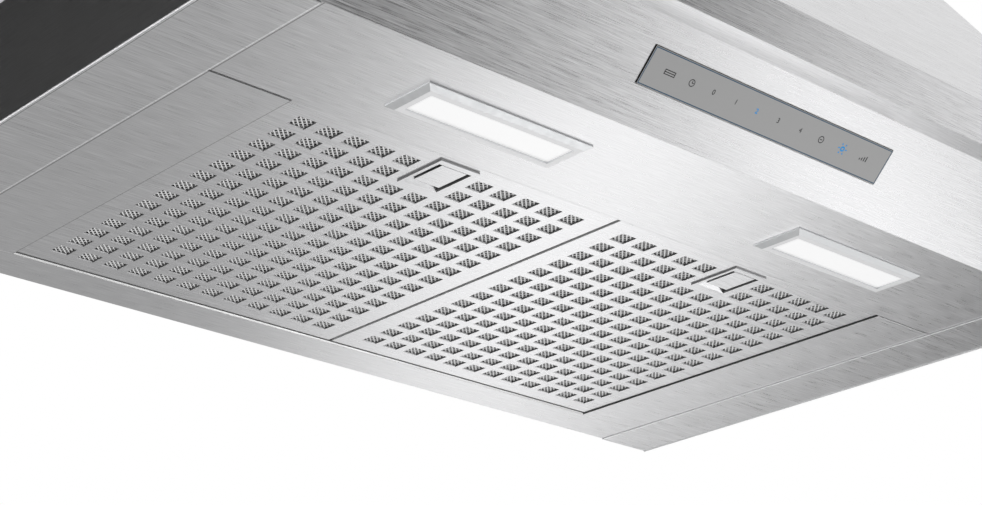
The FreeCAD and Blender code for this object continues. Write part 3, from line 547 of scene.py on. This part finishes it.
# %% [markdown]
# ## Other metals and plastics
#
# Hidden sheets are zinc coated and show a faint crystal pattern, which a Voronoi texture gives. Filter frames,
# springs and screws are plain metals with a fine grain. The light frames are metal with a grey painted ring
# round the lens, which lies level, so it is found by the way it faces.

# %% Make the metals
def zinc():
    finish = Finish("zinc_sheet", {"Metallic": 1.0})
    sockets = {"Vector": finish.place(), "Scale": 130.0}
    crystals = finish.node("ShaderNodeTexVoronoi", {}, sockets, output="Color")
    tone = finish.node("ShaderNodeRGBToBW", {}, {0: crystals})
    finish.set("Base Color", finish.mix_colours(tone, (0.44, 0.45, 0.46), (0.58, 0.59, 0.60)))
    finish.set("Roughness", tone * 0.15 + 0.38)
    finish.relief(tone, 0.05, 0.0005, 0.0006)
    return finish.material


def plain_metal(name, dark, light, roughness, grain, painted=None):
    finish = Finish(name, {"Metallic": 1.0})
    grains = finish.noise(finish.place(), detail=4.0, scale=grain)
    tone = finish.mix_colours(grains, dark, light)
    if painted:
        flat = finish.axis(finish.facing_way(), Z).size() > FACING_LIMIT
        tone = finish.mix_colours(flat, tone, painted)
        finish.set("Metallic", 1 - flat)
    finish.set("Base Color", tone)
    finish.set("Roughness", (grains - 0.5) * 0.2 + roughness)
    finish.relief(grains, 0.08, 0.0003, 0.0004)
    return finish.material


def greys(dark, light):
    """Two neutral colours."""
    return (dark,) * 3, (light,) * 3


aluminium = plain_metal("filter_aluminium", *greys(0.60, 0.72), 0.38, 700.0)
spring_steel = plain_metal("spring_steel", (0.40, 0.40, 0.41), (0.52, 0.52, 0.53), 0.30, 900.0)
light_frame = plain_metal(
    "light_frame_grey", (0.71, 0.72, 0.73), (0.75, 0.76, 0.77), 0.36, 300.0, (0.84, 0.84, 0.85))
print("metals:", aluminium.name, spring_steel.name, light_frame.name)

# %% [markdown]
# The blower housing, the impeller and the touch housing are black plastic with a fine moulded grain, and the motor
# has a satin grey coat that looks much the same. The circuit boards are green lacquer over copper tracks,
# which a brick texture suggests well enough for parts that only show with the hood open.

# %% Make the plastics and the boards
def moulded(name, dark, light, roughness, grain):
    finish = Finish(name, {})
    grains = finish.noise(finish.place(), detail=3.0, scale=grain)
    finish.set("Base Color", finish.mix_colours(grains, dark, light))
    finish.set("Roughness", (grains - 0.5) * 0.15 + roughness)
    finish.relief(grains, 0.10, 0.0003, 0.0006)
    return finish.material


def board():
    finish = Finish("circuit_board", {"Roughness": 0.4})
    tracks = finish.node("ShaderNodeTexBrick", {"offset": 0.37}, {
        "Vector": finish.place(), "Color1": (0.03, 0.17, 0.08, 1.0), "Color2": (0.04, 0.21, 0.10, 1.0),
        "Mortar": (0.10, 0.30, 0.16, 1.0), "Scale": 90.0, "Mortar Size": 0.012})
    finish.set("Base Color", tracks)
    return finish.material


motor_casing = moulded("motor_casing", (0.10, 0.105, 0.11), (0.15, 0.155, 0.16), 0.45, 500.0)
black_plastic = moulded("black_plastic", *greys(0.018, 0.035), 0.5, 900.0)
print("plastics:", motor_casing.name, black_plastic.name)

# %% [markdown]
# ## Lens and glass
#
# The lenses are frosted and lit, so they glow a little over a white body. The touch glass is printed grey on
# its back, with a thin blue line just inside its border, and its walls are painted black as the shade of the gap
# round it. The glass slants at 45 degrees, so its height is measured along the slope, and the distance to the
# nearest border places the line.

# %% Make the lens and the glass
LINE_START, LINE_END = 0.0004, 0.0010


def frosted_lens():
    finish = Finish("lens_white", {"Roughness": 0.45, "Emission Strength": 0.24})
    grains = finish.noise(finish.place(), detail=3.0, scale=1800.0)
    finish.set("Base Color", finish.mix_colours(grains, *greys(0.86, 0.92)))
    finish.set("Emission Color", finish.mix_colours(grains, (0.96, 0.96, 0.97), (1.0, 1.0, 1.0)))
    finish.relief(grains, 0.08, 0.0002)
    return finish.material


def from_border(finish, place):
    """The distance on the glass to its nearest border."""
    heights = [(vertex.co.z - vertex.co.y) / math.sqrt(2) for vertex in nodes["touch_glass"].data.vertices]
    height = (finish.axis(place, Z) - finish.axis(place, Y)) / math.sqrt(2)
    from_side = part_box("touch_glass")[1].x - finish.axis(place, X).size()
    from_end = (height - min(heights)).least(max(heights) - height)
    return from_side.least(from_end)


def printed_glass():
    finish = Finish("touch_glass", {"Specular IOR Level": 0.3})
    place = finish.place()
    grains = finish.noise(place, scale=2600.0)
    line = from_border(finish, place).inside(LINE_START, LINE_END)
    body = finish.mix_colours(grains, *greys(0.46, 0.49))
    lined = finish.mix_colours(line, body, (0.0, 0.07, 0.15))
    facing_way = finish.facing_way()
    # The walls round the glass are painted near black, a painted shade for the gap round it.
    wall = finish.axis(facing_way, Y) + finish.axis(facing_way, Z) > -1.2
    finish.set("Base Color", finish.mix_colours(wall, lined, (0.004, 0.004, 0.004)))
    finish.set("Roughness", (grains - 0.5) * 0.05 + 0.3)
    return finish.material


lens = frosted_lens()
glass = printed_glass()
print("lens and glass:", lens.name, glass.name)

# %% [markdown]
# ## Dress the solids
#
# The CAD record names a material slot for every node. Each slot gets its finish, and a few steel pieces
# then get the variant that carries their own edges.

# %% Assign the finishes
finishes = {
    "brushed_steel": steel,
    "filter_steel": filter_steel,
    "filter_aluminium": aluminium,
    "zinc_sheet": zinc(),
    "spring_steel": spring_steel,
    "motor_casing": motor_casing,
    "black_plastic": black_plastic,
    "light_frame_grey": light_frame,
    "lens_white": lens,
    "touch_glass": glass,
    "circuit_board": board(),
}
for subpart in frame["record"]["subparts"]:
    slots = nodes[subpart["node"]].data.materials
    slots.clear()
    slots.append(finishes[subpart["material_slot"]])

variants = {
    "rear_rail": rail_steel, "canopy_front": canopy_steel, "lower_flue": flue_steel, "upper_flue": flue_steel}
for side in SIDES:
    variants[side + "_filler_panel"] = filler_steel[side]
    variants[side + "_latch_bezel"] = bezel_steel
    variants[side + "_latch_pull"] = pull_steel
for name, material in variants.items():
    nodes[name].data.materials[0] = material

# %% [markdown]
# ## Filter mesh
#
# Behind the square holes lie layers of aluminium mesh. The CAD model has a plain slab there, which would look
# like a lid. Real strands are needed, because light and shadow between them make the pattern in the holes.
# One six-sided strand is modelled, flattened in edit mode, repeated by an Array modifier and turned to a diagonal.

# %% Lay parallel strands
def only(piece):
    bpy.ops.object.select_all(action="DESELECT")
    piece.select_set(True)
    bpy.context.view_layer.objects.active = piece


def apply_modifiers(piece):
    only(piece)
    for modifier in list(piece.modifiers):
        bpy.ops.object.modifier_apply(modifier=modifier.name)


Layer = namedtuple("Layer", "tone pitch width height degrees rise")


def strand_layer(centre, layer, span):
    """Parallel strands through a centre, turned about Z."""
    bpy.ops.object.select_all(action="DESELECT")
    bpy.ops.mesh.primitive_cylinder_add(
        vertices=6, radius=layer.width / 2, depth=span, rotation=(0.0, math.pi / 2, 0.0))
    strands = bpy.context.object
    bpy.ops.object.transform_apply(location=False, rotation=True, scale=False)
    bpy.ops.object.mode_set(mode="EDIT")
    bpy.ops.mesh.select_all(action="SELECT")
    bpy.ops.transform.resize(value=(1.0, 1.0, layer.height / layer.width))
    bpy.ops.object.mode_set(mode="OBJECT")
    rows = strands.modifiers.new("rows", "ARRAY")
    rows.use_relative_offset = False
    rows.use_constant_offset = True
    rows.constant_offset_displace = (0.0, layer.pitch, 0.0)
    rows.count = int(span / layer.pitch) + 1
    middle = Matrix.Translation((0.0, -layer.pitch * (rows.count - 1) / 2, 0.0))
    apply_modifiers(strands)
    turn = Matrix.Rotation(math.radians(layer.degrees), 4, "Z")
    strands.data.transform(Matrix.Translation(centre) @ turn @ middle)
    return strands


print("strand maker ready")

# %% [markdown]
# The pad must fill what the slab filled, which is a rectangle with a notch for the latch case. Bisect planes
# trim a copy of each layer to the three rectangles round that notch. A Boolean would give the same outline, but
# it is slow and fragile on hundreds of strands.

# %% Trim a layer to the fields of the pad
CASE_GAP = 0.0004


def trimmed(strands, low, high):
    """A copy of a layer, cut down to a rectangle."""
    only(strands)
    bpy.ops.object.duplicate()
    piece = bpy.context.object
    bpy.ops.object.mode_set(mode="EDIT")
    for corner, normals in ((low, ((-1, 0, 0), (0, -1, 0))), (high, ((1, 0, 0), (0, 1, 0)))):
        for normal in normals:
            bpy.ops.mesh.select_all(action="SELECT")
            bpy.ops.mesh.bisect(plane_co=(*corner, 0.0), plane_no=normal, use_fill=True, clear_outer=True)
    bpy.ops.object.mode_set(mode="OBJECT")
    return piece


def pad_fields(side):
    """The rectangles behind, left and right of the latch case, as low and high corners."""
    low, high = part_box(side + "_filter_mesh")
    case_low, case_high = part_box(side + "_latch_case")
    behind = case_high.y + CASE_GAP
    return (((low.x, behind), (high.x, high.y)),
            ((low.x, low.y), (case_low.x - CASE_GAP, behind)),
            ((case_high.x + CASE_GAP, low.y), (high.x, behind)))


print("left pad:", len(pad_fields("left")), "fields")

# %% [markdown]
# Four layers cross each other. The two nearest to the holes are bright, the two behind them lie in shadow, and
# that shade is painted into their near black tone; the second layer is painted a little darker than the first.
# Giving each depth its own tone keeps the pattern clear at a few pixels per hole. The strands of one filter are
# joined into one piece that swings with it.

# %% Weave the two pads
# Each depth of strand gets its own painted light or shade: near white in front, a little darker next, near black
# deepest.
strand_painted_light_and_shade = (
    moulded("strand_painted_lit", *greys(0.90, 0.98), 0.35, 900.0),
    moulded("strand_painted_half_shade", *greys(0.80, 0.88), 0.40, 900.0),
    moulded("strand_painted_shade", *greys(0.012, 0.02), 0.50, 900.0),
)
layers = (
    Layer(0, 0.0026, 0.0011, 0.0008, 45.0, 0.0006),
    Layer(1, 0.0034, 0.0010, 0.0008, -45.0, 0.0013),
    Layer(2, 0.0030, 0.0011, 0.0008, 45.0, 0.0032),
    Layer(2, 0.0034, 0.0011, 0.0008, -45.0, 0.0042),
)
LAYER_SPAN = 0.44


def merged(parts):
    bpy.ops.object.select_all(action="DESELECT")
    for part in parts:
        part.select_set(True)
    bpy.context.view_layer.objects.active = parts[0]
    bpy.ops.object.join()
    return bpy.context.object


def weave(side):
    low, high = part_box(side + "_filter_mesh")
    parts = []
    for layer in layers:
        centre = ((low.x + high.x) / 2, (low.y + high.y) / 2, low.z + layer.rise)
        strands = strand_layer(centre, layer, LAYER_SPAN)
        strands.data.materials.append(strand_painted_light_and_shade[layer.tone])
        parts += [trimmed(strands, *field) for field in pad_fields(side)]
        bpy.data.objects.remove(strands)
    mesh = merged(parts)
    mesh.name = side + "_wire_mesh"
    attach(mesh, side + "_filter")
    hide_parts(side + "_filter_mesh")
    return mesh


for side in SIDES:
    mesh = weave(side)
    print(mesh.name, len(mesh.data.polygons), "faces")

# %% [markdown]
# ## Signs on the glass
#
# The touch panel has a row of ten touch fields: the fan speeds 0 to 4 between plain signs, with the chosen speed
# and the lamp sign lit in blue. Digits are text made into a mesh. The signs are drawn as rings and bars: a ring
# is a circle whose edge is extruded and scaled, a bar is a plane with bevelled corners. All of them lie on the
# glass, in its own slanting frame.

# %% Draw digits, rings and bars
CHIN_EDGE = Vector((0.0, -0.446, UNDERSIDE))
ROW_SHIFT, ROW_HEIGHT, PRINT_LEVEL = -0.0010, 0.0388, 0.00084
SLANT = Matrix.Rotation(math.radians(135.0), 4, "X")
DIGIT = 0.0034


def on_glass(piece, x):
    in_row = Matrix.Translation((x + ROW_SHIFT, ROW_HEIGHT, PRINT_LEVEL))
    piece.data.transform(Matrix.Translation(CHIN_EDGE) @ SLANT @ in_row)
    return piece


def digit(text, x, weight=0.00002):
    bpy.ops.object.select_all(action="DESELECT")
    bpy.ops.object.text_add()
    words = bpy.context.object
    words.data.body = text
    words.data.size = DIGIT * 1.4
    words.data.offset = weight
    words.data.align_x = "CENTER"
    words.data.align_y = "CENTER"
    bpy.ops.object.convert(target="MESH")
    return on_glass(bpy.context.object, x)


def ring(x, radius, width):
    bpy.ops.object.select_all(action="DESELECT")
    bpy.ops.mesh.primitive_circle_add(vertices=32, radius=radius)
    piece = bpy.context.object
    bpy.ops.object.mode_set(mode="EDIT")
    bpy.ops.mesh.select_all(action="SELECT")
    bpy.ops.mesh.extrude_edges_indiv()
    bpy.ops.transform.resize(value=(1 - width / radius, 1 - width / radius, 1.0))
    bpy.ops.object.mode_set(mode="OBJECT")
    return on_glass(piece, x)


def bar(x, y, width, height, turn=0.0, reach=0.0):
    """A bar with rounded corners, turned and then moved out along its own length."""
    bpy.ops.object.select_all(action="DESELECT")
    bpy.ops.mesh.primitive_plane_add(size=1.0)
    piece = bpy.context.object
    bpy.ops.object.mode_set(mode="EDIT")
    bpy.ops.mesh.select_all(action="SELECT")
    bpy.ops.transform.resize(value=(width, height, 1.0))
    bpy.ops.mesh.bevel(offset=min(width, height) * 0.3, segments=2, affect="VERTICES")
    bpy.ops.object.mode_set(mode="OBJECT")
    outwards = Matrix.Rotation(turn, 4, "Z") @ Matrix.Translation((reach, 0.0, 0.0))
    piece.data.transform(Matrix.Translation((0.0, y, 0.0)) @ outwards)
    return on_glass(piece, x)


print("digits", DIGIT * 1000, "mm high")

# %% [markdown]
# Each sign is a few strokes: a slotted filter, a clock with two hands, a ring with a bar, a lamp with six rays
# and four bars of rising height. Strokes of one ink are joined, so each ink is one piece.

# %% Draw the signs
STROKE = 0.0005


def filter_sign(x):
    slats = [bar(x, row, 0.0090, STROKE) for row in (-0.0014, 0.0, 0.0014)]
    return slats + [bar(x + column, 0.0, STROKE, 0.0034) for column in (-0.0042, 0.0042)]


def clock_sign(x):
    return [ring(x, 0.0024, STROKE), bar(x, 0.0007, STROKE, 0.0016), bar(x + 0.0007, 0.0, 0.0016, STROKE)]


def ring_sign(x):
    return [ring(x, 0.0024, STROKE), bar(x, 0.0, 0.0022, STROKE)]


def rising_sign(x):
    parts = []
    for step in range(4):
        height = 0.0014 + step * 0.0008
        parts.append(bar(x + step * 0.0020, height / 2 - 0.0020, STROKE * 1.5, height))
    return parts


def lamp_sign(x):
    rays = [bar(x, 0.0, 0.0013, 0.0008, math.pi * turn / 3, 0.0034) for turn in range(6)]
    return [ring(x, 0.0018, 0.0009)] + rays


def ink(name, colour, glow):
    finish = Finish(name, {"Roughness": 0.6, "Specular IOR Level": 0.1, "Emission Strength": glow})
    grains = finish.noise(finish.place(), scale=3000.0)
    finish.set("Base Color", finish.mix_colours(grains, colour, [min(channel * 1.2, 1.0) for channel in colour]))
    finish.set("Emission Color", (*colour, 1.0))
    return finish.material


def printed(parts, name, material):
    piece = merged(parts)
    piece.name = name
    piece.data.materials.clear()
    piece.data.materials.append(material)
    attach(piece, "hood")
    return piece


grey_parts = [digit("0", -0.052), digit("1", -0.032), digit("3", 0.007), digit("4", 0.028, -0.00002)]
grey_parts += filter_sign(-0.090) + clock_sign(-0.071) + ring_sign(0.048) + rising_sign(0.0870)
marks = printed(grey_parts, "glass_marks", ink("mark_grey", (0.02, 0.02, 0.022), 0.0))
blue_parts = [digit("2", -0.013, 0.00006)] + lamp_sign(0.069)
lit = printed(blue_parts, "glass_marks_lit", ink("mark_blue", (0.0, 0.31, 0.76), 0.12))
print("marks:", len(marks.data.polygons), "grey and", len(lit.data.polygons), "blue faces")

# %% [markdown]
# ## Screws
#
# Sheets and brackets are held by pan head screws, all of one kind. One head is modelled from a cylinder: its rim
# is bevelled, and a cross is cut into it with a Boolean modifier for each arm.

# %% Model one screw head
HEAD_RADIUS, HEAD_HEIGHT, HEAD_ROUND = 0.0030, 0.0020, 0.0011
ARM_LENGTH, ARM_WIDTH, ARM_DEPTH = 0.0030, 0.0007, 0.0016


def rounded_button():
    bpy.ops.object.select_all(action="DESELECT")
    bpy.ops.mesh.primitive_cylinder_add(
        vertices=20, radius=HEAD_RADIUS, depth=HEAD_HEIGHT, location=(0.0, 0.0, HEAD_HEIGHT / 2))
    button = bpy.context.object
    bpy.ops.object.transform_apply(location=True)
    bpy.ops.object.mode_set(mode="EDIT")
    bpy.ops.mesh.select_all(action="DESELECT")
    bpy.ops.object.mode_set(mode="OBJECT")
    for edge in button.data.edges:
        edge.select = all(button.data.vertices[index].co.z > HEAD_HEIGHT * 0.95 for index in edge.vertices)
    bpy.ops.object.mode_set(mode="EDIT")
    bpy.ops.mesh.bevel(offset=HEAD_ROUND, segments=3)
    bpy.ops.object.mode_set(mode="OBJECT")
    return button


def pan_head():
    head = rounded_button()
    cutters = []
    for size in ((ARM_LENGTH, ARM_WIDTH, ARM_DEPTH), (ARM_WIDTH, ARM_LENGTH, ARM_DEPTH)):
        bpy.ops.object.select_all(action="DESELECT")
        bpy.ops.mesh.primitive_cube_add(size=1.0, location=(0.0, 0.0, HEAD_HEIGHT), scale=size)
        cutters.append(bpy.context.object)
        bpy.ops.object.transform_apply()
        cross = head.modifiers.new("cross", "BOOLEAN")
        cross.operation = "DIFFERENCE"
        cross.object = cutters[-1]
    apply_modifiers(head)
    for cutter in cutters:
        bpy.data.objects.remove(cutter)
    return head


head = pan_head()
print("screw head:", len(head.data.polygons), "faces")

# %% [markdown]
# The screws sit where the sheets are joined: on the cover of the power box, the arms of the motor bracket, the
# flange of the outlet collar and the sides of the flue. A seat is a body, a place on its surface and the way
# that the surface looks.

# %% List the seats
Seat = namedtuple("Seat", "body place way")
COVER_MARGIN, COVER_GAUGE, PLATE_GAUGE = 0.0045, 0.0015, 0.0012
BLOWER_Y, BLOWER_Z, ARM_REACH = -0.215, 0.020, 0.087
FLANGE_X, FLANGE_FRONT, FLANGE_REAR = 0.078, -0.218, -0.062
FLUE_FRONT, FLUE_REAR, FLUE_FOOT = -0.250, -0.030, 0.012
BRACKET_Y, BRACKET_DROP = -0.015, 0.006

cover_low, cover_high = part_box("power_box_cover")
cover_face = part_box("power_box")[0].y - COVER_GAUGE
seats = [Seat("hood", (x, cover_face, z), (0, -1, 0))
         for x in (cover_low.x + COVER_MARGIN, cover_high.x - COVER_MARGIN)
         for z in (cover_low.z + COVER_MARGIN, cover_high.z - COVER_MARGIN)]

arm_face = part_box("motor_bracket")[0].x
for angle in (math.radians(degrees) for degrees in (0.0, 120.0, 240.0)):
    place = (arm_face, BLOWER_Y + ARM_REACH * math.cos(angle), BLOWER_Z + ARM_REACH * math.sin(angle))
    seats.append(Seat("hood", place, (-1, 0, 0)))

flange_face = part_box("top_plate")[1].z + PLATE_GAUGE
seats += [Seat("hood", (x, y, flange_face), (0, 0, 1))
          for x in (-FLANGE_X, FLANGE_X) for y in (FLANGE_FRONT, FLANGE_REAR)]

lower_low, lower_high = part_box("lower_flue")
upper_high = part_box("upper_flue")[1]
for side in (-1, 1):
    for y in (FLUE_FRONT, FLUE_REAR):
        seats.append(Seat("hood", (lower_high.x * side, y, lower_low.z + FLUE_FOOT), (side, 0, 0)))
    place = (upper_high.x * side, BRACKET_Y, upper_high.z - BRACKET_DROP)
    seats.append(Seat("upper_flue", place, (side, 0, 0)))
print(len(seats), "seats")

# %% [markdown]
# Each copy of the head gets a mesh of its own, turned to its seat, and rides on the body that it holds.

# %% Seat the copies
for index, seat in enumerate(seats):
    only(head)
    bpy.ops.object.duplicate()
    screw = bpy.context.object
    screw.name = "screw_%02d" % (index + 1)
    turn = Vector(seat.way).to_track_quat("Z", "Y").to_matrix().to_4x4()
    screw.data.transform(Matrix.Translation(seat.place) @ turn)
    screw.data.materials.clear()
    screw.data.materials.append(finishes["spring_steel"])
    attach(screw, seat.body)
bpy.data.objects.remove(head)
print(len(seats), "screws")

# %% [markdown]
